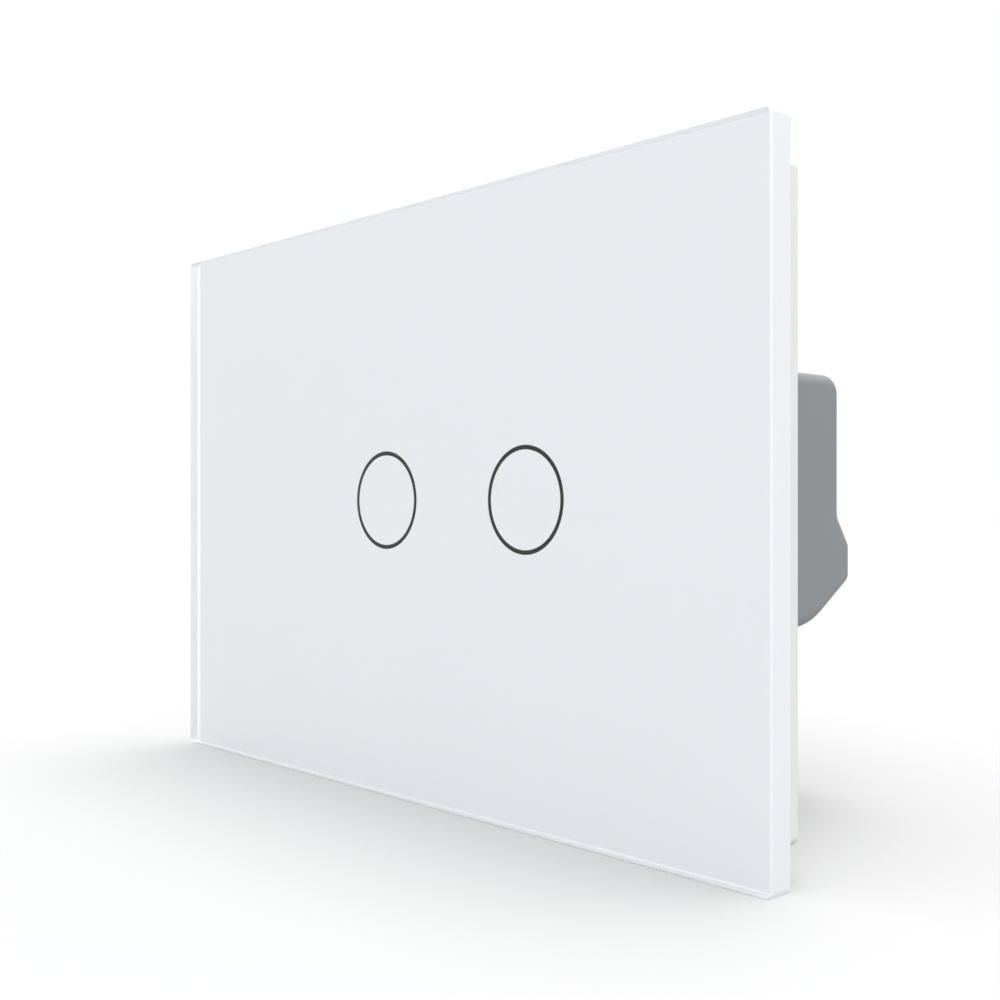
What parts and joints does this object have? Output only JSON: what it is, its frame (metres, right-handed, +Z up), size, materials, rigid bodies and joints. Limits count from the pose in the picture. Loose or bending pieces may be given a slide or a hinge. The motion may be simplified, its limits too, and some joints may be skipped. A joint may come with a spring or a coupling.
{
  "type": "touch light switch",
  "caption": "Wall light switch with touch keys: a glass panel that pulls off a base frame, touch board, relays and rising-clamp terminals in a rear housing.",
  "frame": {"origin": "middle of the base frame's back face, in the wall's plane, between the two box-screw slots", "axes": "+X to the right and +Z up as seen from the room, +Y into the wall"},
  "size_m": [0.118, 0.0476, 0.08],
  "materials": {
    "glass": "clear, polished edges",
    "white_print": "screen print, smooth",
    "ring_print": "dark translucent print",
    "foam": "closed-cell foam tape",
    "white_plastic": "moulded, satin",
    "clear_plastic": "clear, moulded",
    "board_laminate": "solder mask, satin",
    "black_plastic": "moulded, matt",
    "copper": "bare copper",
    "brass": "plain brass",
    "led_body": "moulded, glossy",
    "grey_housing": "fine moulded texture",
    "terminal_grey": "moulded, satin",
    "steel": "zinc-plated",
    "fuse_brown": "moulded, satin",
    "film_yellow": "potted box, satin",
    "sleeve_black": "shrink sleeve",
    "varistor_blue": "dipped coating",
    "ferrite": "pressed ferrite",
    "tape_yellow": "wound tape",
    "magnet_steel": "plain steel",
    "relay_blue": "moulded, satin"
  },
  "bodies": {
    "base": {"base_frame": "white_plastic", "module_cover": "white_plastic", "light_guides": "clear_plastic", "indicator_leds": "led_body", "touch_pads": "copper", "touch_board": "board_laminate", "touch_chip": "black_plastic", "board_header": "black_plastic", "header_pins": "brass", "board_socket": "black_plastic", "rear_housing": "grey_housing", "housing_screws": "steel", "power_board": "board_laminate", "terminal_blocks": "terminal_grey", "terminal_bars": "brass", "fuse": "fuse_brown", "film_capacitor": "film_yellow", "smoothing_capacitor": "sleeve_black", "varistor": "varistor_blue", "rectifier": "black_plastic", "converter_chip": "black_plastic", "transformer_core": "ferrite", "transformer_winding": "tape_yellow", "transformer_base": "black_plastic", "relay_1_base": "black_plastic", "relay_1_case": "relay_blue", "relay_1_yoke": "magnet_steel", "relay_1_bobbin": "black_plastic", "relay_1_winding": "copper", "relay_1_fixed_contact": "brass", "relay_2_base": "black_plastic", "relay_2_case": "relay_blue", "relay_2_yoke": "magnet_steel", "relay_2_bobbin": "black_plastic", "relay_2_winding": "copper", "relay_2_fixed_contact": "brass"},
    "panel": {"glass_panel": "glass", "back_print": "white_print", "touch_rings": "ring_print", "panel_adhesive": "foam", "panel_carrier": "white_plastic"},
    "clamp_screw_1": {"terminal_screw_1": "steel"},
    "clamp_1": {"terminal_clamp_1": "steel"},
    "clamp_screw_2": {"terminal_screw_2": "steel"},
    "clamp_2": {"terminal_clamp_2": "steel"},
    "clamp_screw_3": {"terminal_screw_3": "steel"},
    "clamp_3": {"terminal_clamp_3": "steel"},
    "clamp_screw_4": {"terminal_screw_4": "steel"},
    "clamp_4": {"terminal_clamp_4": "steel"},
    "clamp_screw_5": {"terminal_screw_5": "steel"},
    "clamp_5": {"terminal_clamp_5": "steel"},
    "armature_1": {"relay_1_armature": "magnet_steel", "relay_1_leaf": "brass"},
    "armature_2": {"relay_2_armature": "magnet_steel", "relay_2_leaf": "brass"}
  },
  "joints": [
    {"name": "panel_pull", "type": "slide", "parent": "base", "child": "panel", "axis": [0, -1, 0], "range_m": [0, 0.02]},
    {"name": "clamp_screw_1_turn", "type": "hinge", "parent": "base", "child": "clamp_screw_1", "pos_m": [-0.02, 0.02375, -0.01465], "axis": [0, 0, 1], "range_deg": [0, 1296]},
    {"name": "clamp_1_rise", "type": "slide", "parent": "base", "child": "clamp_1", "axis": [0, 0, -1], "range_m": [0, 0.0018]},
    {"name": "clamp_screw_2_turn", "type": "hinge", "parent": "base", "child": "clamp_screw_2", "pos_m": [-0.01, 0.02375, -0.01465], "axis": [0, 0, 1], "range_deg": [0, 1296]},
    {"name": "clamp_2_rise", "type": "slide", "parent": "base", "child": "clamp_2", "axis": [0, 0, -1], "range_m": [0, 0.0018]},
    {"name": "clamp_screw_3_turn", "type": "hinge", "parent": "base", "child": "clamp_screw_3", "pos_m": [0, 0.02375, -0.01465], "axis": [0, 0, 1], "range_deg": [0, 1296]},
    {"name": "clamp_3_rise", "type": "slide", "parent": "base", "child": "clamp_3", "axis": [0, 0, -1], "range_m": [0, 0.0018]},
    {"name": "clamp_screw_4_turn", "type": "hinge", "parent": "base", "child": "clamp_screw_4", "pos_m": [0.01, 0.02375, -0.01465], "axis": [0, 0, 1], "range_deg": [0, 1296]},
    {"name": "clamp_4_rise", "type": "slide", "parent": "base", "child": "clamp_4", "axis": [0, 0, -1], "range_m": [0, 0.0018]},
    {"name": "clamp_screw_5_turn", "type": "hinge", "parent": "base", "child": "clamp_screw_5", "pos_m": [0.02, 0.02375, -0.01465], "axis": [0, 0, 1], "range_deg": [0, 1296]},
    {"name": "clamp_5_rise", "type": "slide", "parent": "base", "child": "clamp_5", "axis": [0, 0, -1], "range_m": [0, 0.0018]},
    {"name": "relay_1_armature_rock", "type": "hinge", "parent": "base", "child": "armature_1", "pos_m": [-0.018, 0.00487, 0.0013], "axis": [1, 0, 0], "range_deg": [0, 4.5], "stiffness_Nm_per_rad": 0.0005, "springref_deg": -5.73},
    {"name": "relay_2_armature_rock", "type": "hinge", "parent": "base", "child": "armature_2", "pos_m": [-0.00592, 0.00487, 0.0013], "axis": [1, 0, 0], "range_deg": [0, 4.5], "stiffness_Nm_per_rad": 0.0005, "springref_deg": -5.73}
  ],
  "couplings": [
    {"joint": "clamp_screw_1_turn", "follows": "clamp_1_rise", "rad_per_m": 12566},
    {"joint": "clamp_screw_2_turn", "follows": "clamp_2_rise", "rad_per_m": 12566},
    {"joint": "clamp_screw_3_turn", "follows": "clamp_3_rise", "rad_per_m": 12566},
    {"joint": "clamp_screw_4_turn", "follows": "clamp_4_rise", "rad_per_m": 12566},
    {"joint": "clamp_screw_5_turn", "follows": "clamp_5_rise", "rad_per_m": 12566}
  ]
}
